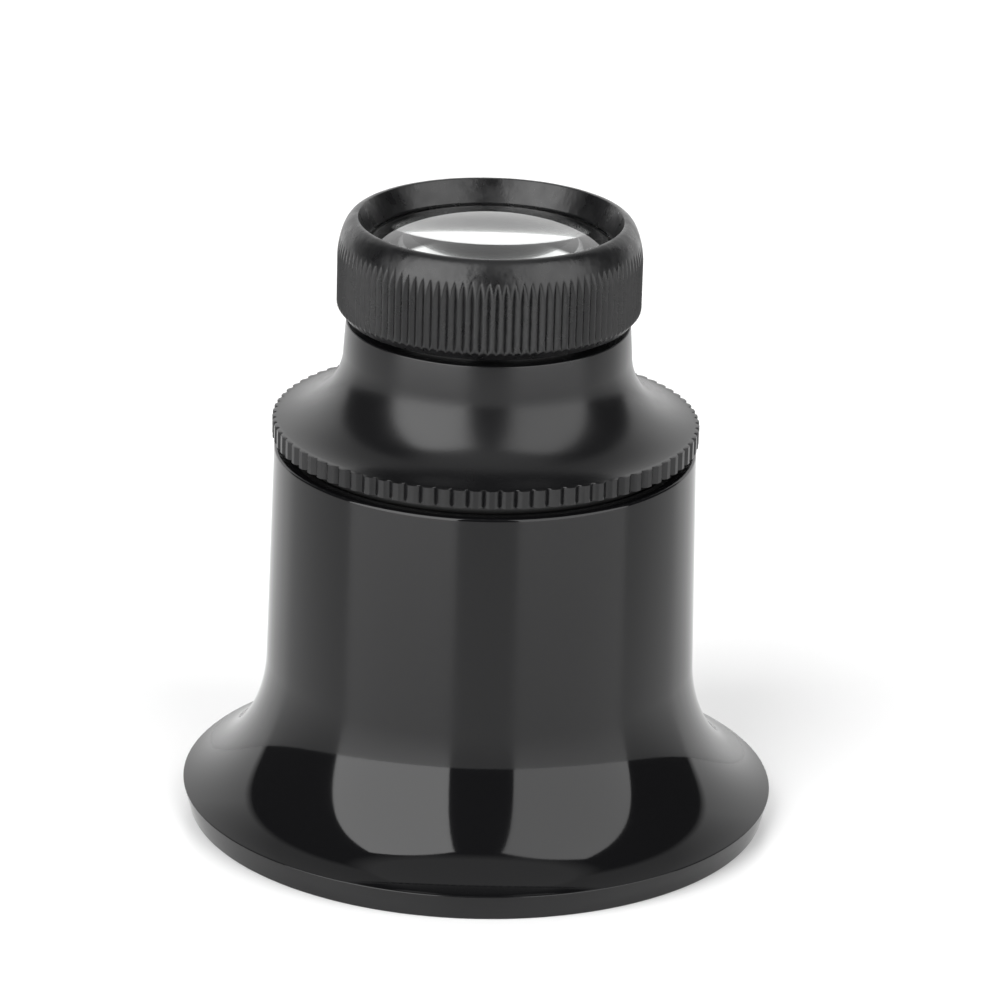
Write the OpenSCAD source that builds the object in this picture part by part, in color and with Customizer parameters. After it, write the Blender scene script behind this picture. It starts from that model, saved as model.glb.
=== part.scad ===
// Jeweller's eye loupe: a flared eyecup, a trumpet-shaped lens head that screws into it,
// and a knurled cap that screws onto the head and holds the upper lens.
// Millimetres. Origin: centre of the base rim, resting plane z = 0. +Z runs up the optical axis.

/* [Overall] */
// Largest diameter, at the base rim
rim_d = 43; // [38:0.5:52]
// Full height with both threads run home
height = 44.8; // [37:0.1:54]

/* [Eyecup] */
// Height at which the flare runs into the barrel
flare_top = 11.7; // [9:0.1:14]
// Height of the sharp edge of the rim
rim_edge_z = 1.9; // [1.6:0.05:4]
// How far the rim tucks in from its edge to the base
rim_tuck = 0.5; // [0.2:0.05:1.2]
// Wall thickness of the eyecup
wall = 1.7; // [1.2:0.1:2.4]
// How much wider the barrel is at the flare than at its lip, on the radius
barrel_draft = 0.35; // [0:0.05:0.8]

/* [Head] */
// How far the knurled flange stands out past the eyecup's lip
flange_reach = 0.15; // [0:0.05:1]
// Thickness of the knurled flange
flange_h = 1.3; // [1:0.1:3]
// Gap between the eyecup's lip and the flange, which holds the sealing ring
seal_gap = 0.8; // [0.6:0.05:1.4]
// Height of the trumpet-shaped part of the head
head_flare_h = 5.2; // [4:0.1:9]
// Height of the neck under the cap
neck_h = 2.15; // [1.5:0.05:5]
// How far the neck stands out past the cap's spigot
neck_ledge = 1.3; // [0.9:0.05:2]
// Length of the threaded spigot below the eyecup's lip
spigot_h = 4.5; // [3.6:0.1:6]
// Wall between the eye lens's pocket and the spigot's thread root
spigot_wall = 2.64; // [1.6:0.02:4]
// Number of teeth round the flange
flange_teeth = 84; // [48:2:120]

/* [Cap] */
// Height of the cap
cap_h = 7.1; // [6.6:0.1:10]
// Gap between the cap and the neck's shoulder
cap_gap = 0.55; // [0.3:0.05:1]
// Wall between the cap's thread bore and the crest of its knurl
cap_wall = 1.34; // [1:0.02:2.2]
// Depth from the cap's top edge down to the lens seat
cap_recess = 1.8; // [1.4:0.1:3]
// Width of the lip that the upper lens seats against
seat_lip = 0.3; // [0.2:0.05:1.2]
// Number of grooves round the cap
cap_teeth = 112; // [60:2:140]
// Depth of one cap groove
cap_groove = 0.22; // [0.15:0.01:0.4]

/* [Optics] */
// Diameter of the upper lens
top_lens_d = 18; // [14:0.1:21.6]
// Radius of the upper lens's upper face
top_lens_r = 25; // [16:0.5:40]
// Radius of the upper lens's flatter lower face
top_back_r = 50; // [35:1:200]
// Diameter of the eye lens
eye_lens_d = 20; // [16:0.1:24]
// Radius of the eye lens's curved face
eye_lens_r = 13; // [12.5:0.25:20]
// Edge thickness of both lenses
lens_edge = 1.4; // [1:0.1:1.7]

/* [Threads] */
// Pitch of the head's thread in the eyecup
head_pitch = 1; // [0.8:0.1:1.2]
// Pitch of the cap's thread on the head
cap_pitch = 0.75; // [0.6:0.05:0.9]

/* [Hidden] */
$fn = 96;

black = [0.03, 0.03, 0.03];
soft_black = [0.07, 0.07, 0.07];
rubber_black = [0.05, 0.05, 0.05];
clear_glass = [0.85, 0.92, 0.92, 0.35];
spring_steel = [0.6, 0.6, 0.62];

fuse = 0.3;          // how far a thread ridge is sunk into its wall
head_thread_h = 0.6; // height of the larger thread's ridges
cap_thread_h = 0.4;  // height of the smaller thread's ridges
head_play = 0.15;    // radial clearance of the larger thread
cap_play = 0.11;     // radial clearance of the smaller thread
lens_play = 0.06;    // radial clearance round a lens
steps = 24;          // thread arcs per turn
arc_overlap = 1.5;   // degrees by which one arc runs into the next

// heights, from the top down
cap_z = height - cap_h;
neck_top = cap_z - cap_gap;
neck_start = neck_top - neck_h;
flange_top = neck_start - head_flare_h;
flange_z = flange_top - flange_h;
eyecup_h = flange_z - seal_gap;
spigot_z = eyecup_h - spigot_h;
relief_z = eyecup_h - 0.3;

// radii, from the eye lens out
eye_pocket_r = eye_lens_d / 2 + lens_play;
spigot_root = eye_pocket_r + spigot_wall;
spigot_crest = spigot_root + head_thread_h;
relief_r = spigot_root + head_thread_h / 2;
bore_r = spigot_crest + head_play;
lip_r = bore_r + wall;
barrel_r = lip_r + barrel_draft;
flange_r = lip_r + flange_reach;
shoulder_r = flange_r - 0.2;
rim_r = rim_d / 2;
base_r = rim_r - rim_tuck;

// radii, from the upper lens out
top_root = top_lens_d / 2;
top_bore_r = top_root - 0.8;
top_crest = top_root + cap_thread_h;
cap_bore_r = top_crest + cap_play;
cap_ridge_r = top_root + cap_play;
pocket_r = top_root + lens_play - 0.01;
lens_open_r = top_root - seat_lip;
cap_r = cap_bore_r + cap_wall;
neck_r = top_root + neck_ledge;

// flares
flare_turn = 76;
flare_a = (rim_r - barrel_r) / (1 - cos(flare_turn));
flare_b = (flare_top - rim_edge_z) / sin(flare_turn);
bore_end = flare_top + (eyecup_h - flare_top) * 0.6;
head_turn_angle = 83.5;
head_a = (shoulder_r - neck_r) / (1 - cos(head_turn_angle));
head_b = (neck_start - flange_top) / sin(head_turn_angle);

// lenses
lens_seat_z = height - cap_recess;
top_lens_low = lens_seat_z - 0.02 - lens_edge;
top_dome_r = lens_open_r - 0.06;
top_half = sqrt(top_lens_r * top_lens_r - top_dome_r * top_dome_r);
eye_low = eyecup_h - 0.2;
eye_high = eye_low + lens_edge;
eye_half = sqrt(eye_lens_r * eye_lens_r - eye_lens_d * eye_lens_d / 4);

// retaining ring under the upper lens, and the spigot that stops against it
retainer_w = 0.7;
retainer_h = 1.02;
spigot_end = top_lens_low - retainer_h - 0.26;

// knurl and bevel of the cap
cap_knurl_low = cap_z + 0.75;
cap_knurl_top = height - 3.6;
cap_bevel = 1.3;

// o-ring and snap ring
o_ring_d = seal_gap + 0.2;
o_ring_r = relief_r + o_ring_d / 2 + 0.02;
wire_d = 0.7;
groove_z = eye_low - 0.08 - wire_d / 2;

// threads
head_turns = (relief_z - spigot_z - 1.2) / head_pitch;
cap_turns = (spigot_end - neck_top - 1.5) / cap_pitch;

// Height of the eye lens's curved face at a radius.
function eye_dome(r) = eye_high - eye_half + sqrt(eye_lens_r * eye_lens_r - r * r);

// Height of the upper lens's curved face at a radius.
function top_dome(r) = top_lens_low + lens_edge - top_half + sqrt(top_lens_r * top_lens_r - r * r);

// How far the upper lens's lower face hangs below its edge at a radius.
function top_back(r) = sqrt(top_back_r * top_back_r - r * r) - sqrt(top_back_r * top_back_r - top_root * top_root);

// A quarter-ellipse run between two heights, as points from the bottom to the top.
function flare(r, top, a, b, turn, n) =
    [for (i = [0:n]) let (t = turn * (1 - i / n)) [r + a * (1 - cos(t)), top - b * sin(t)]];

// A round gear-like outline with V grooves.
function v_knurl(r, depth, teeth) =
    [for (i = [0:2 * teeth - 1]) let (rr = i % 2 == 0 ? r : r - depth, a = 180 * i / teeth)
        [rr * cos(a), rr * sin(a)]];

// A flat-crested outline: each tooth keeps some of the full radius.
function flat_knurl(r, depth, teeth) =
    [for (i = [0:teeth - 1], k = [0:3])
        let (a = 360 / teeth * (i + [0, 0.45, 0.6, 0.85][k]), rr = k < 2 ? r : r - depth)
        [rr * cos(a), rr * sin(a)]];

// A trapezoid ridge wound up a helix in short level arcs, each a little higher than the last.
// The arcs overlap slightly, so no two end faces fall together.
module helix_ridge(wall_r, crest_r, pitch, turns, z0, phase, base_w, crest_w) {
    side = crest_r > wall_r ? 1 : -1;
    root = wall_r - side * fuse;
    sink = fuse * (base_w - crest_w) / 2 / abs(crest_r - wall_r);
    for (i = [0:round(turns * steps) - 1])
        translate([0, 0, z0 + pitch * i / steps]) rotate([0, 0, phase + 360 * i / steps])
            rotate_extrude(angle = 360 / steps + arc_overlap)
                polygon([[root, -base_w / 2 - sink], [crest_r, -crest_w / 2],
                         [crest_r, crest_w / 2], [root, base_w / 2 + sink]]);
}

module eyecup() {
    outer = concat([[base_r, 0]], flare(barrel_r, flare_top, flare_a, flare_b, flare_turn, 14),
                   [[lip_r + 0.02, eyecup_h - 0.15], [lip_r - 0.13, eyecup_h]]);
    inner = concat([[bore_r + 0.7, eyecup_h], [bore_r, eyecup_h - 0.7], [bore_r, bore_end]],
                   [for (p = [14:-1:0]) let (t = flare_turn * (1 - p / 14))
                       [bore_r + 0.05 + (rim_r - wall - 0.22 - bore_r) * (1 - cos(t)) / (1 - cos(flare_turn)),
                        flare_top - 1.1 - (flare_b - 0.6) * sin(t)]],
                   [[rim_r - wall - 0.75, 0]]);
    color(black) union() {
        rotate_extrude() polygon(concat(outer, inner));
        helix_ridge(bore_r, spigot_root + head_play, head_pitch, head_turns, spigot_z + 0.55,
                    183, 0.46, 0.16);
    }
}

module head_o_ring() {
    color(rubber_black) translate([0, 0, flange_z - o_ring_d / 2 - 0.02])
        rotate_extrude() translate([o_ring_r, 0]) circle(d = o_ring_d);
}

module lens_head() {
    seat_r = eye_pocket_r - 1.15;
    shell = concat([[spigot_root - 0.3, spigot_z], [spigot_root, spigot_z + 0.3],
                    [spigot_root, relief_z], [relief_r, relief_z], [relief_r, flange_z + 0.4]],
                   [[shoulder_r - 0.4, flange_z + 0.4], [shoulder_r - 0.4, flange_top - 0.4]],
                   flare(neck_r, neck_start, head_a, head_b, head_turn_angle, 12),
                   [[neck_r - 0.15, neck_top], [top_root, neck_top],
                    [top_root, spigot_end - 0.2], [top_root - 0.2, spigot_end],
                    [top_bore_r, spigot_end], [top_bore_r, neck_start + 1],
                    [top_bore_r + 0.4, neck_start - 0.5], [seat_r, eye_dome(seat_r) + 0.14],
                    [eye_pocket_r, eye_high + 0.12], [eye_pocket_r, spigot_z]]);
    color(soft_black) union() {
        difference() {
            rotate_extrude() polygon(shell);
            translate([0, 0, groove_z]) rotate_extrude()
                translate([eye_pocket_r, 0]) circle(d = wire_d + 0.12);
        }
        translate([0, 0, flange_z]) intersection() {
            linear_extrude(height = flange_h)
                difference() {
                    polygon(flat_knurl(flange_r, 0.3, flange_teeth));
                    circle(r = relief_r - 0.5);
                }
            rotate_extrude() polygon([[0, 0], [flange_r - 0.15, 0], [flange_r + 0.05, 0.2],
                [flange_r + 0.05, flange_h - 0.2], [flange_r - 0.15, flange_h], [0, flange_h]]);
        }
        helix_ridge(spigot_root, spigot_crest, head_pitch, head_turns, spigot_z + 0.55,
                    3, 0.46, 0.16);
        helix_ridge(top_root, top_crest, cap_pitch, cap_turns, neck_top + 0.9, 3, 0.34, 0.12);
    }
}

module eye_lens() {
    dome = [for (i = [0:16]) let (r = eye_lens_d / 2 * (1 - i / 16)) [r, eye_dome(r)]];
    color(clear_glass) rotate_extrude() polygon(concat([[0, eye_low], [eye_lens_d / 2, eye_low]], dome));
}

module eye_lens_snap_ring() {
    color(spring_steel) translate([0, 0, groove_z]) rotate([0, 0, 20])
        rotate_extrude(angle = 322) translate([eye_pocket_r, 0]) circle(d = wire_d);
}

module lens_cap() {
    body = cap_r + 0.05;
    shape = concat([[cap_bore_r + 0.25, cap_z], [cap_r - 0.6, cap_z], [body, cap_knurl_low]],
                   [for (i = [0:9]) let (t = 10 * i)
                       [body - cap_bevel * (1 - cos(t)), cap_knurl_top + (height - cap_knurl_top) * sin(t)]],
                   [[body - cap_bevel - 0.15, height], [lens_open_r, lens_seat_z + 0.2],
                    [lens_open_r, lens_seat_z], [pocket_r, lens_seat_z],
                    [pocket_r, spigot_end + 0.1], [cap_bore_r, spigot_end + 0.1],
                    [cap_bore_r, cap_z + 0.25]]);
    color(black) union() {
        intersection() {
            rotate_extrude() polygon(shape);
            translate([0, 0, cap_z]) linear_extrude(height = height - cap_z)
                polygon(v_knurl(cap_r, cap_groove, cap_teeth));
        }
        helix_ridge(cap_bore_r, cap_ridge_r, cap_pitch, cap_turns - 0.2, neck_top + 0.9,
                    183, 0.34, 0.12);
    }
}

module top_lens() {
    dome = [for (i = [0:16]) let (r = top_dome_r * (1 - i / 16)) [r, top_dome(r)]];
    back = [for (i = [0:12]) let (r = top_root * i / 12) [r, top_lens_low - top_back(r)]];
    color(clear_glass) rotate_extrude()
        polygon(concat(back, [[top_root, top_lens_low + lens_edge]], dome));
}

module top_lens_retainer() {
    inner_r = top_root - retainer_w;
    low = spigot_end + 0.12;
    color(soft_black) rotate_extrude() polygon([[inner_r, low], [top_root, low],
        [top_root, low + retainer_h], [inner_r, low + retainer_h - top_back(inner_r)]]);
}

eyecup();
head_o_ring();
lens_head();
eye_lens();
eye_lens_snap_ring();
lens_cap();
top_lens();
top_lens_retainer();
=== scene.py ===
"""Eye loupe: turned shells, knurls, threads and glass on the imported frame, in a white studio."""
import logging
import math
from dataclasses import dataclass
from enum import Enum
from typing import Any, Sequence

import bmesh
import bpy
from mathutils import Matrix, Vector


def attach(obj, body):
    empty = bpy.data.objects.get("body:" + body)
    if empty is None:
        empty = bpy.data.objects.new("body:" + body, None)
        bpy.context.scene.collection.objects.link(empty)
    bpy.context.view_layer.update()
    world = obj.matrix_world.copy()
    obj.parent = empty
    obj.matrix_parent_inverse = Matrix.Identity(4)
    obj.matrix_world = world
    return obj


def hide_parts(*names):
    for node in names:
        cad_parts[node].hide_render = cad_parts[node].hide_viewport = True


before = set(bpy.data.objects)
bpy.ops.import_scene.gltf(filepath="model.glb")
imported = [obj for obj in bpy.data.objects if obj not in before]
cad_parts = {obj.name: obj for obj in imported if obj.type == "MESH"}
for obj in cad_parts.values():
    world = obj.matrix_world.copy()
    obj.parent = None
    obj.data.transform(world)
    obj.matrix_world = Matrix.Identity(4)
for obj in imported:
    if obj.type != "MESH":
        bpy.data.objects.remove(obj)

log = logging.getLogger("loupe")
MM = 0.001
SMOOTH_BELOW = math.radians(30)


# ---------------------------------------------------------------- colours, nodes and materials


def linear(code: str, alpha: float = 1.0) -> tuple[float, float, float, float]:
    """Turns an sRGB hex colour into linear light.

    Args:
        code: the colour, such as "#0b0b0c".
        alpha: the fourth value.

    Returns:
        Linear red, green and blue, then alpha.
    """
    channels = [int(code[i:i + 2], 16) / 255 for i in (1, 3, 5)]
    r, g, b = (c / 12.92 if c <= 0.04045 else ((c + 0.055) / 1.055) ** 2.4 for c in channels)
    return r, g, b, alpha


def put(tree: bpy.types.NodeTree, kind: str, inputs: dict[Any, Any] | None = None,
        **settings: Any) -> bpy.types.Node:
    """Adds a node with its settings, links and values.

    Args:
        tree: the node tree.
        kind: the node's Blender type name.
        inputs: input name or index to the socket that feeds it, or to its own value.
        settings: the node's properties.

    Returns:
        The new node.
    """
    node = tree.nodes.new(kind)
    for key, value in settings.items():
        setattr(node, key, value)
    for key, given in (inputs or {}).items():
        if isinstance(given, bpy.types.NodeSocket):
            tree.links.new(given, node.inputs[key])
        else:
            node.inputs[key].default_value = given
    return node


def new_material(name: str, inputs: dict[str, Any]) -> tuple[bpy.types.Material, bpy.types.NodeTree,
                                                             bpy.types.Node]:
    """Starts a material from the values of its Principled shader.

    Args:
        name: the material's name.
        inputs: each shader input's name and value.

    Returns:
        The material, its node tree and its shader.
    """
    mat = bpy.data.materials.new(name)
    mat.use_nodes = True
    shader = mat.node_tree.nodes["Principled BSDF"]
    for key, value in inputs.items():
        shader.inputs[key].default_value = value
    return mat, mat.node_tree, shader


# ---------------------------------------------------------------- finishes


@dataclass(frozen=True)
class Grain:
    """A surface's fine relief: its real pitch and how deep it reads."""

    pitch_mm: float
    depth_mm: float
    strength: float
    detail: float = 2.0


@dataclass(frozen=True)
class Plastic:
    """Moulded black ABS or rubber, from glossy to matte."""

    name: str
    colour: str
    roughness: float
    roughness_spread: float
    ior: float
    grain: Grain
    ripple: Grain
    haze_mm: float = 7.0

    def build(self) -> bpy.types.Material:
        """Makes the material: base colour, uneven gloss, grain over a slower ripple."""
        mat, tree, shader = new_material(self.name, {"Base Color": linear(self.colour), "IOR": self.ior})
        place = put(tree, "ShaderNodeTexCoord").outputs["Object"]
        haze = put(tree, "ShaderNodeTexNoise", {"Vector": place, "Scale": 1 / (self.haze_mm * MM),
                                                "Detail": 3.0, "Roughness": 0.55})
        gloss = put(tree, "ShaderNodeMapRange", {
            "Value": haze.outputs["Fac"], "From Min": 0.3, "From Max": 0.7,
            "To Min": self.roughness - self.roughness_spread,
            "To Max": self.roughness + self.roughness_spread})
        tree.links.new(gloss.outputs["Result"], shader.inputs["Roughness"])
        normal = None
        for grain in (self.ripple, self.grain):
            noise = put(tree, "ShaderNodeTexNoise", {
                "Vector": place, "Scale": 1 / (grain.pitch_mm * MM), "Detail": grain.detail})
            bump = put(tree, "ShaderNodeBump", {
                "Height": noise.outputs["Fac"], "Strength": grain.strength, "Distance": grain.depth_mm * MM})
            if normal is not None:
                tree.links.new(normal, bump.inputs["Normal"])
            normal = bump.outputs["Normal"]
        tree.links.new(normal, shader.inputs["Normal"])
        return mat


@dataclass(frozen=True)
class Glass:
    """Optical glass with polished faces."""

    name: str
    colour: str
    roughness: float
    ior: float
    wipe_mm: float = 4.0

    def build(self) -> bpy.types.Material:
        """Makes the clear glass, with the faint unevenness of a wiped face."""
        mat, tree, shader = new_material(self.name, {
            "Base Color": linear(self.colour), "IOR": self.ior, "Transmission Weight": 1.0})
        place = put(tree, "ShaderNodeTexCoord").outputs["Object"]
        wipe = put(tree, "ShaderNodeTexNoise", {
            "Vector": place, "Scale": 1 / (self.wipe_mm * MM), "Detail": 2.0})
        rough = put(tree, "ShaderNodeMapRange", {
            "Value": wipe.outputs["Fac"], "From Min": 0.35, "From Max": 0.8,
            "To Min": self.roughness, "To Max": self.roughness * 1.6 + 0.004})
        tree.links.new(rough.outputs["Result"], shader.inputs["Roughness"])
        return mat


@dataclass(frozen=True)
class Wire:
    """Drawn spring steel: a bright metal with fine drawing marks."""

    name: str
    colour: str
    roughness: float
    draw_line_mm: float
    roughness_spread: float = 0.08
    line_depth_mm: float = 0.01

    def build(self) -> bpy.types.Material:
        """Makes the steel with its drawing marks."""
        mat, tree, shader = new_material(self.name, {"Base Color": linear(self.colour), "Metallic": 1.0})
        place = put(tree, "ShaderNodeTexCoord").outputs["Object"]
        lines = put(tree, "ShaderNodeTexNoise", {
            "Vector": place, "Scale": 1 / (self.draw_line_mm * MM), "Detail": 2.0})
        rough = put(tree, "ShaderNodeMapRange", {
            "Value": lines.outputs["Fac"], "To Min": self.roughness - self.roughness_spread,
            "To Max": self.roughness + self.roughness_spread})
        bump = put(tree, "ShaderNodeBump", {
            "Height": lines.outputs["Fac"], "Strength": 0.2, "Distance": self.line_depth_mm * MM})
        tree.links.new(rough.outputs["Result"], shader.inputs["Roughness"])
        tree.links.new(bump.outputs["Normal"], shader.inputs["Normal"])
        return mat


class Finish(Enum):
    """Every finish on the loupe."""

    # ABS from a polished tool: mirror-like, with the slow ripple of moulded shrinkage.
    EYECUP = Plastic("glossy_moulded_abs", "#0b0b0c", 0.06, 0.02, 1.38,
                     Grain(0.25, 0.004, 0.10), Grain(5.0, 0.02, 0.14))
    # ABS from a fine-eroded tool: satin, with soft edges to what it reflects.
    HEAD = Plastic("fine_grained_satin_abs", "#0d0d0e", 0.25, 0.03, 1.40,
                   Grain(0.14, 0.008, 0.35), Grain(4.0, 0.015, 0.15))
    # ABS from a half-polished tool, handled more than the rest.
    CAP = Plastic("semi_gloss_abs", "#0c0c0d", 0.31, 0.08, 1.43,
                  Grain(0.3, 0.02, 0.4), Grain(0.9, 0.06, 0.55), haze_mm=1.3)
    # Nitrile rubber: dull, very dark, slightly granular.
    RUBBER = Plastic("moulded_nitrile_rubber", "#0b0b0b", 0.6, 0.05, 1.5,
                     Grain(0.1, 0.01, 0.5), Grain(2.0, 0.01, 0.1))
    # Unpolished ABS of the hidden retaining ring.
    RETAINER = Plastic("matte_moulded_abs", "#0c0c0c", 0.5, 0.05, 1.53,
                       Grain(0.12, 0.01, 0.4), Grain(3.0, 0.01, 0.1))
    # Crown glass, ground and polished: clear and colourless, with sharp reflections.
    LENS = Glass("polished_crown_glass", "#fbfdfc", 0.0, 1.517)
    # Hard-drawn spring steel: bright, with slightly streaked highlights.
    WIRE = Wire("drawn_spring_steel", "#a7a8aa", 0.3, 0.08)


class Paint:
    """Makes each finish once and hands it out."""

    def __init__(self) -> None:
        """Starts with an empty shelf."""
        self.made: dict[Finish, bpy.types.Material] = {}

    def get(self, finish: Finish) -> bpy.types.Material:
        """The material of a finish, made at its first use."""
        if finish not in self.made:
            self.made[finish] = finish.value.build()
        return self.made[finish]


# ---------------------------------------------------------------- turned shapes


@dataclass(frozen=True)
class Corner:
    """A point of a turned outline in millimetres, with the radius that softens it."""

    r: float
    z: float
    soft: float = 0.0


def softened(corners: Sequence[Corner], steps: int = 5) -> list[tuple[float, float]]:
    """Rounds the corners of a closed outline.

    Args:
        corners: the outline's corners in order.
        steps: the number of pieces in each rounded corner.

    Returns:
        Radius and height of each point, in metres.
    """
    out: list[tuple[float, float]] = []
    count = len(corners)
    for i, corner in enumerate(corners):
        here = Vector((corner.r, corner.z))
        if corner.soft <= 0:
            out.append((here.x * MM, here.y * MM))
            continue
        before = Vector((corners[i - 1].r, corners[i - 1].z)) - here
        after = Vector((corners[(i + 1) % count].r, corners[(i + 1) % count].z)) - here
        angle = before.angle(after)
        cut = min(corner.soft / math.tan(angle / 2), before.length * 0.49, after.length * 0.49)
        start, end = here + before.normalized() * cut, here + after.normalized() * cut
        for k in range(steps + 1):
            t = k / steps
            point = start * (1 - t) ** 2 + here * 2 * t * (1 - t) + end * t ** 2
            out.append((point.x * MM, point.y * MM))
    return out


def quarter(r: float, top: float, wide: float, tall: float, turn: float,
            count: int) -> list[Corner]:
    """A concave quarter-ellipse flare from its wide foot up to its vertical end.

    Args:
        r: the radius at the top.
        top: the height of the top.
        wide: the ellipse's half width.
        tall: the ellipse's half height.
        turn: the angle swept, in degrees.
        count: the number of pieces.

    Returns:
        The points from the foot to the top.
    """
    points = []
    for i in range(count + 1):
        t = math.radians(turn) * (1 - i / count)
        points.append(Corner(r + wide * (1 - math.cos(t)), top - tall * math.sin(t)))
    return points


def turned(name: str, outline: Sequence[tuple[float, float]], segments: int,
           material: bpy.types.Material) -> bpy.types.Object:
    """Turns a closed outline about the optical axis into a closed mesh.

    Args:
        name: the object's name.
        outline: radius and height in metres, in order round the section.
        segments: the number of steps round the axis.
        material: the finish of every face.

    Returns:
        The object, linked to the scene at the origin.
    """
    mesh = bpy.data.meshes.new(name)
    work = bmesh.new()
    rings = []
    for r, z in outline:
        if r < 1e-9:
            rings.append([work.verts.new((0, 0, z))])
        else:
            rings.append([work.verts.new((r * math.cos(2 * math.pi * k / segments),
                                          r * math.sin(2 * math.pi * k / segments), z))
                          for k in range(segments)])
    for i, low in enumerate(rings):
        high = rings[(i + 1) % len(rings)]
        for k in range(segments):
            n = (k + 1) % segments
            corners = [low[k % len(low)], low[n % len(low)], high[n % len(high)], high[k % len(high)]]
            face = list(dict.fromkeys(corners))
            if len(face) > 2:
                work.faces.new(face)
    bmesh.ops.remove_doubles(work, verts=work.verts, dist=1e-7)
    bmesh.ops.recalc_face_normals(work, faces=work.faces)
    work.to_mesh(mesh)
    work.free()
    mesh.materials.append(material)
    return shown(name, mesh)


def shown(name: str, mesh: bpy.types.Mesh) -> bpy.types.Object:
    """Links a mesh to the scene, smooth but for its real edges."""
    mesh.shade_smooth()
    mesh.set_sharp_from_angle(angle=SMOOTH_BELOW)
    obj = bpy.data.objects.new(name, mesh)
    bpy.context.scene.collection.objects.link(obj)
    return obj


# ---------------------------------------------------------------- geometry nodes


def socket_ids(tree: bpy.types.NodeTree) -> dict[str, str]:
    """The identifier of each named input of a node group."""
    return {item.name: item.identifier for item in tree.interface.items_tree
            if item.item_type == "SOCKET" and item.in_out == "INPUT"}


def new_geometry_tree(name: str, sizes: dict[str, float]) -> tuple[bpy.types.NodeTree, bpy.types.Node]:
    """Starts a geometry tree with a geometry input, its sizes and a material.

    Args:
        name: the tree's name.
        sizes: each size input's name and default value.

    Returns:
        The tree and its Group Input node.
    """
    tree = bpy.data.node_groups.new(name, "GeometryNodeTree")
    tree.interface.new_socket("Geometry", in_out="INPUT", socket_type="NodeSocketGeometry")
    for size, value in sizes.items():
        socket = tree.interface.new_socket(size, in_out="INPUT", socket_type="NodeSocketFloat")
        socket.default_value = value
    tree.interface.new_socket("Finish", in_out="INPUT", socket_type="NodeSocketMaterial")
    tree.interface.new_socket("Geometry", in_out="OUTPUT", socket_type="NodeSocketGeometry")
    return tree, put(tree, "NodeGroupInput")


def end_geometry_tree(tree: bpy.types.NodeTree, geometry: bpy.types.NodeSocket,
                      finish: bpy.types.NodeSocket) -> None:
    """Closes a geometry tree with Realize Instances and Set Material."""
    real = put(tree, "GeometryNodeRealizeInstances", {"Geometry": geometry})
    dressed = put(tree, "GeometryNodeSetMaterial", {"Geometry": real.outputs[0], "Material": finish})
    put(tree, "NodeGroupOutput", {"Geometry": dressed.outputs[0]})


def grow(obj: bpy.types.Object, tree: bpy.types.NodeTree, sizes: dict[str, float],
         material: bpy.types.Material) -> bpy.types.Object:
    """Runs a geometry tree on an object and keeps the result as its plain mesh.

    Args:
        obj: the object that carries the starting mesh.
        tree: the geometry tree.
        sizes: the value of each size input.
        material: the finish that the tree sets.

    Returns:
        A new object of the same name that holds the result.
    """
    ids = socket_ids(tree)
    modifier = obj.modifiers.new("rule", "NODES")
    modifier.node_group = tree
    for key, value in sizes.items():
        modifier[ids[key]] = value
    modifier[ids["Finish"]] = material
    bpy.context.view_layer.update()
    graph = bpy.context.evaluated_depsgraph_get()
    mesh = bpy.data.meshes.new_from_object(obj.evaluated_get(graph), depsgraph=graph)
    obj.modifiers.remove(modifier)
    name = obj.name
    bpy.data.objects.remove(obj, do_unlink=True)
    mesh.name = name
    return shown(name, mesh)


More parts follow.
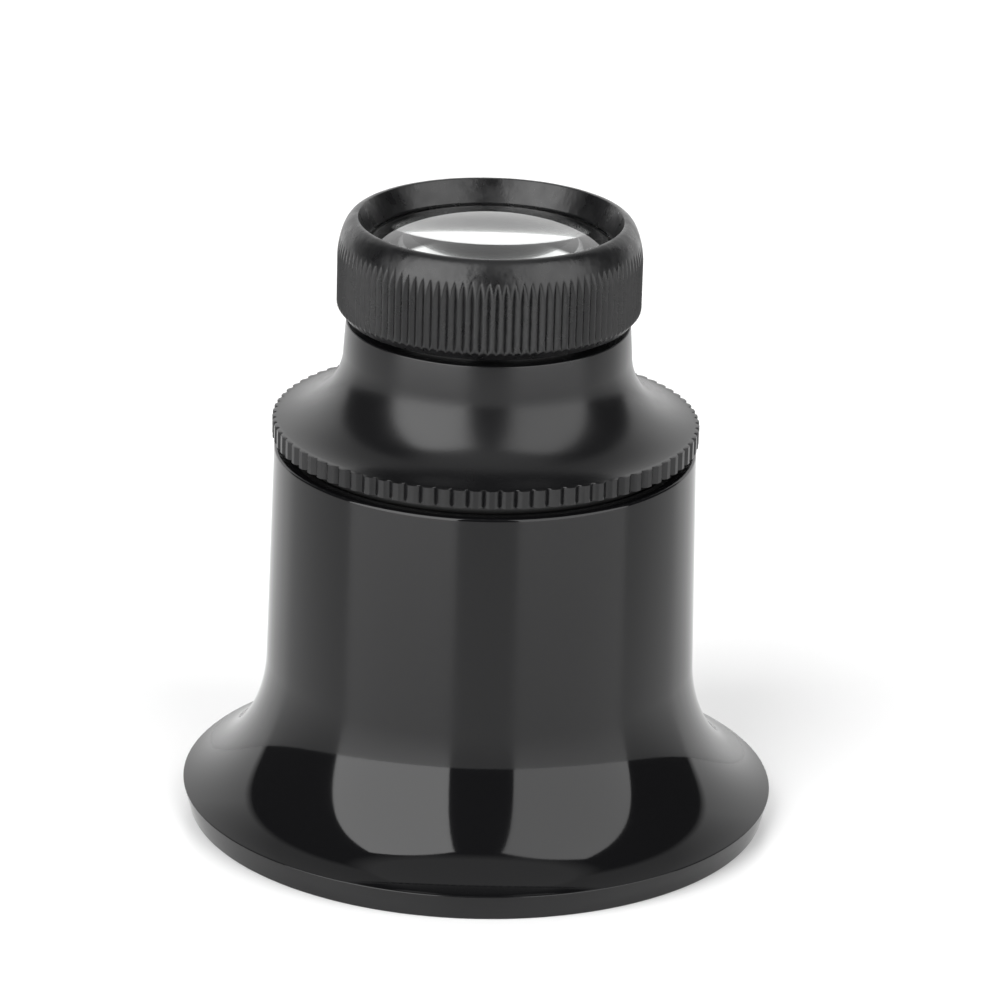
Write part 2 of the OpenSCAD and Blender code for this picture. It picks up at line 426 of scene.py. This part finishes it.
def knurl_tree() -> bpy.types.NodeTree:
    """Cuts axial V grooves: every outer point keeps the smaller of its radius and the knurl's."""
    tree, given = new_geometry_tree("axial_knurl", {
        "Teeth": 100.0, "Crest Radius": 0.01, "Depth": 0.0003, "Groove Width": 0.5,
        "Low": 0.0, "High": 0.01})
    place = put(tree, "GeometryNodeInputPosition").outputs[0]
    along = put(tree, "ShaderNodeSeparateXYZ", {0: place}).outputs
    known: dict[Any, Any] = {socket.name: socket for socket in given.outputs}
    known.update(x=along[0], y=along[1], z=along[2])
    sums = (
        # Each point's radius, and its place between the middles of two teeth, from 0 to 1.
        ("x squared", "MULTIPLY", "x", "x"),
        ("y squared", "MULTIPLY", "y", "y"),
        ("radius squared", "ADD", "x squared", "y squared"),
        ("radius", "SQRT", "radius squared", 0.0),
        ("angle", "ARCTAN2", "y", "x"),
        ("turn", "DIVIDE", "angle", 2 * math.pi),
        ("tooth", "MULTIPLY", "turn", "Teeth"),
        ("shifted tooth", "ADD", "tooth", 1000.5),
        ("phase", "FRACT", "shifted tooth", 0.0),
        # How deep the V is there, and the radius that it leaves.
        ("offset", "SUBTRACT", "phase", 0.5),
        ("distance", "ABSOLUTE", "offset", 0.0),
        ("share", "DIVIDE", "distance", "Groove Width"),
        ("slope", "SUBTRACT", 1.0, "share"),
        ("groove", "MAXIMUM", "slope", 0.0),
        ("cut", "MULTIPLY", "groove", "Depth"),
        ("limit", "SUBTRACT", "Crest Radius", "cut"),
        ("kept radius", "MINIMUM", "radius", "limit"),
        ("safe radius", "MAXIMUM", "radius", 1e-6),
        ("scale", "DIVIDE", "kept radius", "safe radius"),
        ("new x", "MULTIPLY", "x", "scale"),
        ("new y", "MULTIPLY", "y", "scale"),
        # Only the outer skin between the two heights is cut.
        ("groove floor", "SUBTRACT", "Crest Radius", "Depth"),
        ("skin radius", "SUBTRACT", "groove floor", 0.00005),
        ("outer", "GREATER_THAN", "radius", "skin radius"),
        ("above", "GREATER_THAN", "z", "Low"),
        ("below", "LESS_THAN", "z", "High"),
        ("in band", "MULTIPLY", "above", "below"),
        ("chosen", "MULTIPLY", "outer", "in band"),
    )
    for result, operation, first, second in sums:
        terms = {0: known.get(first, first), 1: known.get(second, second)}
        known[result] = put(tree, "ShaderNodeMath", terms, operation=operation).outputs[0]
    moved = put(tree, "ShaderNodeCombineXYZ", {0: known["new x"], 1: known["new y"], 2: known["z"]})
    knurled = put(tree, "GeometryNodeSetPosition", {
        "Geometry": known["Geometry"], "Selection": known["chosen"], "Position": moved.outputs[0]})
    end_geometry_tree(tree, knurled.outputs[0], known["Finish"])
    return tree


def thread_tree() -> bpy.types.NodeTree:
    """Winds a trapezoid ridge up a helix, closed at both ends."""
    tree, given = new_geometry_tree("thread_ridge", {
        "Wall Radius": 0.01, "Turns": 3.0, "Pitch": 0.001, "Start Height": 0.0,
        "Root Width": 0.0005, "Crest Width": 0.0002, "Ridge Height": 0.0009, "Start Angle": 0.0})
    size = given.outputs
    rise = put(tree, "ShaderNodeMath", {0: size["Turns"], 1: size["Pitch"]}, operation="MULTIPLY")
    helix = put(tree, "GeometryNodeCurveSpiral", {
        "Resolution": 96, "Rotations": size["Turns"], "Start Radius": size["Wall Radius"],
        "End Radius": size["Wall Radius"], "Height": rise.outputs[0]})
    upright = put(tree, "GeometryNodeSetCurveNormal", {"Curve": helix.outputs[0]}, mode="Z_UP")
    section = put(tree, "GeometryNodeCurvePrimitiveQuadrilateral", {
        "Bottom Width": size["Root Width"], "Top Width": size["Crest Width"],
        "Height": size["Ridge Height"], "Offset": 0.0}, mode="TRAPEZOID")
    wound = put(tree, "GeometryNodeCurveToMesh", {
        "Curve": upright.outputs[0], "Profile Curve": section.outputs[0], "Fill Caps": True})
    turn = put(tree, "ShaderNodeCombineXYZ", {2: size["Start Angle"]})
    lift = put(tree, "ShaderNodeCombineXYZ", {2: size["Start Height"]})
    placed = put(tree, "GeometryNodeTransform",
                 {"Geometry": wound.outputs[0], "Translation": lift.outputs[0],
                  "Rotation": turn.outputs[0]})
    end_geometry_tree(tree, placed.outputs[0], size["Finish"])
    return tree


# ---------------------------------------------------------------- the loupe's sub-assemblies


@dataclass(frozen=True)
class Ridge:
    """A thread's form in millimetres: its pitch, its width at root and crest, and its height."""

    pitch: float
    root: float
    crest: float
    height: float


CUP_THREAD = Ridge(pitch=1.0, root=0.66, crest=0.16, height=0.9)
CAP_THREAD = Ridge(pitch=0.75, root=0.5, crest=0.12, height=0.7)
# Outer and inner ridges start half a turn apart, which leaves them half a pitch apart.
OUTER_START = 3.0
INNER_START = 183.0


@dataclass
class Workshop:
    """What every sub-assembly needs: its finishes and the node trees."""

    paint: Paint
    knurl: bpy.types.NodeTree
    thread: bpy.types.NodeTree

    def hand_over(self, obj: bpy.types.Object, body: str, slot: str, *nodes: str) -> bpy.types.Object:
        """Puts a finished piece on its body in place of the frame's nodes.

        Args:
            obj: the finished piece.
            body: the body it moves with.
            slot: the name of a material slot; not used.
            nodes: the frame's nodes that it stands for.

        Returns:
            The same piece.
        """
        if nodes:
            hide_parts(*nodes)
        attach(obj, body)
        log.info("%s rides on %s with %d faces", obj.name, body, len(obj.data.polygons))
        return obj

    def repaint(self, node: str, finish: Finish) -> None:
        """Gives a node of the frame its finish and keeps its shape."""
        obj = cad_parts[node]
        obj.data.materials.clear()
        obj.data.materials.append(self.paint.get(finish))
        log.info("%s keeps the frame's shape in %s", node, finish.value.name)

    def carve(self, obj: bpy.types.Object, finish: Finish, teeth: int, crest: float, depth: float,
              width: float, low: float, high: float) -> bpy.types.Object:
        """Cuts a knurl into a turned piece.

        Args:
            obj: the turned piece.
            finish: its finish.
            teeth: grooves round the piece.
            crest: the radius over the teeth, in millimetres.
            depth: the depth of a groove, in millimetres.
            width: half of a groove's width as a share of the tooth spacing.
            low: where the grooves begin, in millimetres.
            high: where they end.

        Returns:
            The knurled piece.
        """
        return grow(obj, self.knurl, {"Teeth": float(teeth), "Crest Radius": crest * MM,
                                      "Depth": depth * MM, "Groove Width": width,
                                      "Low": low * MM, "High": high * MM}, self.paint.get(finish))

    def wind(self, name: str, finish: Finish, ridge: Ridge, wall: float, turns: float, start: float,
             inward: bool = False) -> bpy.types.Object:
        """Winds a thread ridge.

        Args:
            name: the piece's name.
            finish: its finish.
            ridge: the thread's form.
            wall: the radius of the ridge's middle, in millimetres.
            turns: how many turns it makes.
            start: the height where it starts, in millimetres.
            inward: whether it stands on the inside of a bore.

        Returns:
            The ridge.
        """
        seed = bpy.data.meshes.new(name)
        obj = bpy.data.objects.new(name, seed)
        bpy.context.scene.collection.objects.link(obj)
        done = grow(obj, self.thread, {
            "Wall Radius": wall * MM, "Turns": turns, "Pitch": ridge.pitch * MM,
            "Start Height": start * MM, "Root Width": ridge.root * MM,
            "Crest Width": ridge.crest * MM, "Ridge Height": ridge.height * (-MM if inward else MM),
            "Start Angle": math.radians(INNER_START if inward else OUTER_START)},
            self.paint.get(finish))
        work = bmesh.new()
        work.from_mesh(done.data)
        bmesh.ops.remove_doubles(work, verts=work.verts, dist=1e-7)
        bmesh.ops.recalc_face_normals(work, faces=work.faces)
        work.to_mesh(done.data)
        work.free()
        return done


@dataclass
class Eyecup:
    """The flared cup that stands on the bench or sits in the eye socket, with its inner thread."""

    rim_r: float = 21.5
    base_r: float = 21.0
    rim_z: float = 1.9
    barrel_r: float = 15.5
    lip_r: float = 15.15
    height: float = 27.7
    flare_top: float = 11.7
    flare_turn: float = 76.0
    bore_r: float = 13.45
    wall: float = 1.7
    thread_z: float = 23.75
    thread_turns: float = 3.0
    segments: int = 320

    def outline(self) -> list[Corner]:
        """The section, up the outside and down the inside."""
        spread = self.rim_r - self.barrel_r
        turn = math.radians(self.flare_turn)
        wide = spread / (1 - math.cos(turn))
        tall = (self.flare_top - self.rim_z) / math.sin(turn)
        outside = quarter(self.barrel_r, self.flare_top, wide, tall, self.flare_turn, 72)
        outside[0] = Corner(outside[0].r, outside[0].z, 0.12)
        inner_wide = (self.rim_r - self.wall - 0.22 - self.bore_r) / (1 - math.cos(turn))
        inside = quarter(self.bore_r + 0.05, self.flare_top - 1.1, inner_wide, tall - 0.6,
                         self.flare_turn, 48)[::-1]
        return ([Corner(self.base_r, 0, 0.15)] + outside
                + [Corner(self.lip_r, self.height, 0.24),
                   Corner(self.bore_r + 0.7, self.height, 0.08),
                   Corner(self.bore_r, self.height - 0.7, 0.1),
                   Corner(self.bore_r, self.height - 6.4)]
                + inside + [Corner(self.rim_r - self.wall - 0.75, 0, 0.15)])

    def build(self, shop: Workshop) -> None:
        """Makes the cup and its thread."""
        cup = turned("eyecup_shell", softened(self.outline()), self.segments,
                     shop.paint.get(Finish.EYECUP))
        shop.hand_over(cup, "eyecup", "eyecup_gloss", "eyecup")
        ridge = shop.wind("eyecup_thread", Finish.EYECUP, CUP_THREAD, self.bore_r - 0.15,
                          self.thread_turns, self.thread_z, inward=True)
        shop.hand_over(ridge, "eyecup", "eyecup_gloss")


@dataclass
class LensHead:
    """The trumpet-shaped housing, its grip flange and both threaded spigots."""

    spigot_r: float = 12.70
    spigot_z: float = 23.2
    relief_r: float = 13.0
    relief_z: float = 27.4
    flange_r: float = 15.3
    flange_z: float = 28.5
    flange_top: float = 29.8
    neck_r: float = 10.3
    neck_start: float = 35.0
    neck_top: float = 37.15
    upper_r: float = 9.0
    upper_top: float = 40.3
    bore_r: float = 8.2
    pocket_r: float = 10.06
    seat_z: float = 28.9
    flare_turn: float = 83.5
    lower_thread_z: float = 23.75
    lower_thread_turns: float = 3.0
    upper_thread_turns: float = 2.2
    teeth: int = 84
    groove_depth: float = 0.3
    groove_width: float = 0.26
    steps_per_tooth: int = 6

    def outline(self) -> list[Corner]:
        """The section, up the outside and down the inside."""
        foot_r = self.flange_r - 0.2
        turn = math.radians(self.flare_turn)
        wide = (foot_r - self.neck_r) / (1 - math.cos(turn))
        tall = (self.neck_start - self.flange_top) / math.sin(turn)
        grip = self.flange_top - self.flange_z - 0.04
        flange = [Corner(self.flange_r, self.flange_z + 0.02 + grip * i / 6) for i in range(7)]
        return ([Corner(self.spigot_r - 0.3, self.spigot_z), Corner(self.spigot_r, self.spigot_z + 0.3),
                 Corner(self.spigot_r, self.relief_z), Corner(self.relief_r, self.relief_z, 0.05),
                 Corner(self.relief_r, self.flange_z, 0.1), Corner(self.flange_r - 0.2, self.flange_z)]
                + flange + [Corner(foot_r + 0.02, self.flange_top + 0.02)]
                + quarter(self.neck_r, self.neck_start, wide, tall, self.flare_turn, 56)[1:]
                + [Corner(self.neck_r - 0.15, self.neck_top, 0.1), Corner(self.upper_r, self.neck_top),
                   Corner(self.upper_r, self.upper_top - 0.2), Corner(self.upper_r - 0.2, self.upper_top),
                   Corner(self.bore_r, self.upper_top, 0.05), Corner(self.bore_r, self.neck_start + 1),
                   Corner(self.bore_r + 0.4, self.neck_start - 0.5),
                   Corner(self.pocket_r - 1.15, self.seat_z + 1.3, 0.05),
                   Corner(self.pocket_r, self.seat_z + 0.12), Corner(self.pocket_r, self.seat_z - 1.4),
                   Corner(self.pocket_r, self.seat_z - 1.45), Corner(self.pocket_r + 0.36, self.seat_z - 1.6),
                   Corner(self.pocket_r + 0.41, self.seat_z - 1.83),
                   Corner(self.pocket_r + 0.36, self.seat_z - 2.06),
                   Corner(self.pocket_r, self.seat_z - 2.22), Corner(self.pocket_r, self.spigot_z)])

    def build(self, shop: Workshop) -> None:
        """Makes the housing and its threads, and gives its seal and snap ring their finishes."""
        shell = turned("lens_head_shell", softened(self.outline()), self.teeth * self.steps_per_tooth,
                       shop.paint.get(Finish.HEAD))
        shell = shop.carve(shell, Finish.HEAD, self.teeth, self.flange_r, self.groove_depth,
                           self.groove_width, self.flange_z - 0.05, self.flange_top + 0.05)
        shop.hand_over(shell, "head", "head_satin", "lens_head")
        lower = shop.wind("lens_head_lower_thread", Finish.HEAD, CUP_THREAD, self.spigot_r + 0.15,
                          self.lower_thread_turns, self.lower_thread_z)
        shop.hand_over(lower, "head", "head_satin")
        upper = shop.wind("lens_head_upper_thread", Finish.HEAD, CAP_THREAD, self.upper_r + 0.05,
                          self.upper_thread_turns, self.neck_top + 0.9)
        shop.hand_over(upper, "head", "head_satin")
        shop.repaint("head_o_ring", Finish.RUBBER)
        shop.repaint("eye_lens_snap_ring", Finish.WIRE)


@dataclass
class LensCap:
    """The knurled ring that screws onto the head and holds the upper lens."""

    low: float = 37.7
    knurl_low: float = 38.45
    knurl_top: float = 41.2
    top: float = 44.8
    outer_r: float = 10.85
    lip_r: float = 9.6
    bore_r: float = 9.51
    pocket_r: float = 9.05
    open_r: float = 8.7
    seat_z: float = 43.0
    shelf_z: float = 40.4
    thread_z: float = 38.05
    thread_turns: float = 2.0
    teeth: int = 112
    groove_depth: float = 0.22
    groove_width: float = 0.45
    steps_per_tooth: int = 8
    bevel_steps: int = 24

    def outline(self) -> list[Corner]:
        """The section, up the outside and down the inside."""
        body = self.outer_r + 0.05
        bevel = []
        for i in range(1, self.bevel_steps + 1):
            t = math.radians(90 * i / self.bevel_steps)
            bevel.append(Corner(body - (body - self.lip_r) * (1 - math.cos(t)),
                                self.knurl_top + (self.top - self.knurl_top) * math.sin(t)))
        straight = [Corner(body, self.knurl_low + (self.knurl_top - self.knurl_low) * i / 8)
                    for i in range(9)]
        chamfer = self.knurl_low - self.low
        foot = [Corner(self.outer_r - 0.6 + 0.65 * i / 5, self.low + chamfer * i / 5) for i in range(5)]
        return (foot + straight + bevel
                + [Corner(self.lip_r - 0.15, self.top, 0.14), Corner(self.open_r, self.seat_z + 0.2, 0.04),
                   Corner(self.open_r, self.seat_z), Corner(self.pocket_r, self.seat_z),
                   Corner(self.pocket_r, self.shelf_z), Corner(self.bore_r, self.shelf_z),
                   Corner(self.bore_r, self.low + 0.25), Corner(self.bore_r + 0.25, self.low)])

    def build(self, shop: Workshop) -> None:
        """Makes the cap and its thread, and gives its retaining ring its finish."""
        shell = turned("lens_cap_shell", softened(self.outline()), self.teeth * self.steps_per_tooth,
                       shop.paint.get(Finish.CAP))
        shell = shop.carve(shell, Finish.CAP, self.teeth, self.outer_r, self.groove_depth,
                           self.groove_width, self.low + 0.05, self.top)
        shop.hand_over(shell, "cap", "cap_satin", "lens_cap")
        ridge = shop.wind("lens_cap_thread", Finish.CAP, CAP_THREAD, self.bore_r - 0.05,
                          self.thread_turns, self.thread_z, inward=True)
        shop.hand_over(ridge, "cap", "cap_satin")
        shop.repaint("top_lens_retainer", Finish.RETAINER)


@dataclass
class Lens:
    """A lens with a spherical or flat face on each side and a small bevel at each edge."""

    name: str
    node: str
    body: str
    radius: float
    edge_top: float
    edge: float
    top_curve: float
    top_reach: float
    low_curve: float
    segments: int = 192

    @staticmethod
    def face(curve: float, reach: float) -> list[tuple[float, float]]:
        """Radius and rise of a face from its pole to its edge; a curve of 0 is flat."""
        if not curve:
            return [(0.0, 0.0), (reach * 0.5, 0.0), (reach, 0.0)]
        radii = [reach * math.sin(math.pi / 2 * i / 48) for i in range(49)]
        foot = math.sqrt(curve ** 2 - reach ** 2)
        return [(r, math.sqrt(curve ** 2 - r ** 2) - foot) for r in radii]

    def outline(self) -> list[tuple[float, float]]:
        """The section from the top face's pole to the lower face's pole."""
        low_z = self.edge_top - self.edge
        top = [(r, self.edge_top + rise) for r, rise in self.face(self.top_curve, self.top_reach)]
        rim = [(self.radius - 0.06, self.edge_top), (self.radius, self.edge_top - 0.08),
               (self.radius, low_z + 0.08)]
        low = [(r, low_z - rise) for r, rise in self.face(self.low_curve, self.radius - 0.08)[::-1]]
        return [(r * MM, z * MM) for r, z in top + rim + low]

    def build(self, shop: Workshop) -> None:
        """Makes the lens."""
        glass = turned(self.name, self.outline(), self.segments, shop.paint.get(Finish.LENS))
        shop.hand_over(glass, self.body, "lens_glass", self.node)


# ---------------------------------------------------------------- studio


@dataclass(frozen=True)
class Softbox:
    """An upright rectangular light: its direction from the object, its size and how bright it is."""

    name: str
    azimuth: float
    distance: float
    width: float
    low: float
    high: float
    radiance: float

    def build(self) -> None:
        """Stands the light in place, facing the axis and hidden from the camera."""
        a = math.radians(self.azimuth)
        way = Vector((math.sin(a), -math.cos(a), 0.0))
        height = self.high - self.low
        data = bpy.data.lights.new(self.name, "AREA")
        data.shape, data.size, data.size_y = "RECTANGLE", self.width, height
        data.energy = self.radiance * math.pi * self.width * height
        light = bpy.data.objects.new(self.name, data)
        light.location = way * self.distance + Vector((0, 0, (self.low + self.high) / 2))
        light.rotation_euler = way.to_track_quat("Z", "Y").to_euler()
        light.visible_camera = False
        bpy.context.scene.collection.objects.link(light)


class Studio:
    """The pale table, the lights round it and the camera."""

    boxes = (
        Softbox("key_softbox", -44.0, 1.05, 1.24, 0.0, 2.3, 5.0),
        Softbox("fill_softbox", 50.0, 1.05, 1.28, 0.0, 2.3, 3.3),
    )
    table_colour = "#ededed"
    table_roughness = 0.3
    table_half = 1.0
    turn_degrees = (0.185, 20.446, 1.598)
    lens_mm = 198.9
    eye = Vector((0, -0.3734, 0.1627))

    def table(self) -> None:
        """Lays the pale table top."""
        mesh = bpy.data.meshes.new("table")
        half = self.table_half
        mesh.from_pydata([(-half, -half, 0), (half, -half, 0), (half, half, 0), (-half, half, 0)],
                         [], [(0, 1, 2, 3)])
        mesh.materials.append(new_material("pale_laminate", {
            "Base Color": linear(self.table_colour), "Roughness": self.table_roughness})[0])
        obj = bpy.data.objects.new("table", mesh)
        bpy.context.scene.collection.objects.link(obj)

    def surroundings(self) -> None:
        """A white wall behind the object and a white ceiling over it, in an otherwise dark room."""
        world = bpy.data.worlds.new("studio")
        world.use_nodes = True
        tree = world.node_tree
        tree.nodes.clear()

        way = put(tree, "ShaderNodeTexCoord").outputs["Generated"]
        x, y, z = put(tree, "ShaderNodeSeparateXYZ", {0: way}).outputs
        # The wall stands behind the object, between two sides that open away from it.
        behind = put(tree, "ShaderNodeMapRange", {"Value": y, "From Min": 0.04, "From Max": 0.14},
                     clamp=True).outputs[0]
        spread = put(tree, "ShaderNodeMath", {0: y, 1: 1.19}, operation="MULTIPLY").outputs[0]
        side = put(tree, "ShaderNodeMath", {0: spread, 1: 0.1}, operation="ADD").outputs[0]
        across = put(tree, "ShaderNodeMath", {0: x}, operation="ABSOLUTE").outputs[0]
        margin = put(tree, "ShaderNodeMath", {0: side, 1: across}, operation="SUBTRACT").outputs[0]
        between = put(tree, "ShaderNodeMapRange", {"Value": margin, "From Min": -0.06, "From Max": 0.06},
                      clamp=True).outputs[0]
        shape = put(tree, "ShaderNodeMath", {0: behind, 1: between}, operation="MULTIPLY").outputs[0]
        # It dims with height, and the ceiling is a bright patch straight above.
        wall = put(tree, "ShaderNodeMapRange", {"Value": z, "From Min": 0.45, "From Max": 0.75,
                                                "To Min": 1.35, "To Max": 0.55}).outputs[0]
        ceiling = put(tree, "ShaderNodeMapRange", {"Value": z, "From Min": 0.90, "From Max": 0.94,
                                                   "To Min": 0.05, "To Max": 0.75}).outputs[0]
        lit = put(tree, "ShaderNodeMath", {0: shape, 1: wall}, operation="MULTIPLY").outputs[0]
        level = put(tree, "ShaderNodeMath", {0: lit, 1: ceiling}, operation="MAXIMUM").outputs[0]
        # The lens of the camera sees plain white all round.
        seen = put(tree, "ShaderNodeLightPath").outputs["Is Camera Ray"]
        strength = put(tree, "ShaderNodeMix", {0: seen, 2: level, 3: 1.0}, data_type="FLOAT").outputs[0]
        back = put(tree, "ShaderNodeBackground", {"Strength": strength, "Color": (1, 1, 1, 1)})
        put(tree, "ShaderNodeOutputWorld", {"Surface": back.outputs[0]})
        bpy.context.scene.world = world

    def camera(self) -> None:
        """Stands the camera in front of the loupe, looking slightly down."""
        yaw, pitch, roll = (math.radians(a) for a in self.turn_degrees)
        forward = Vector((math.sin(yaw) * math.cos(pitch), math.cos(yaw) * math.cos(pitch),
                          -math.sin(pitch)))
        right = Vector((math.cos(yaw), -math.sin(yaw), 0))
        up = right.cross(forward)
        across = right * math.cos(roll) + up * math.sin(roll)
        over = up * math.cos(roll) - right * math.sin(roll)
        data = bpy.data.cameras.new("camera")
        data.sensor_width, data.lens = 36.0, self.lens_mm
        data.clip_start, data.clip_end = 0.01, 20.0
        cam = bpy.data.objects.new("camera", data)
        turn = Matrix((across, over, -forward)).transposed().to_4x4()
        cam.matrix_world = Matrix.Translation(self.eye) @ turn
        bpy.context.scene.collection.objects.link(cam)
        bpy.context.scene.camera = cam

    def build(self) -> None:
        """Sets the whole studio up."""
        self.table()
        self.surroundings()
        for box in self.boxes:
            box.build()
        self.camera()
        bpy.context.scene.view_settings.view_transform = "Standard"


def main() -> None:
    """Builds the loupe piece by piece, then the studio."""
    logging.basicConfig(level=logging.INFO, format="%(name)s: %(message)s")
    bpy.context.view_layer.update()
    shop = Workshop(Paint(), knurl_tree(), thread_tree())
    Eyecup().build(shop)
    LensHead().build(shop)
    LensCap().build(shop)
    Lens("eye_lens_glass", "eye_lens", "head", radius=10.0, edge_top=28.9, edge=1.4,
         top_curve=13.0, top_reach=9.92, low_curve=0.0).build(shop)
    Lens("top_lens_glass", "top_lens", "loose_lens", radius=9.0, edge_top=42.98, edge=1.4,
         top_curve=25.0, top_reach=8.64, low_curve=50.0).build(shop)
    Studio().build()


if __name__ == "__main__":
    main()
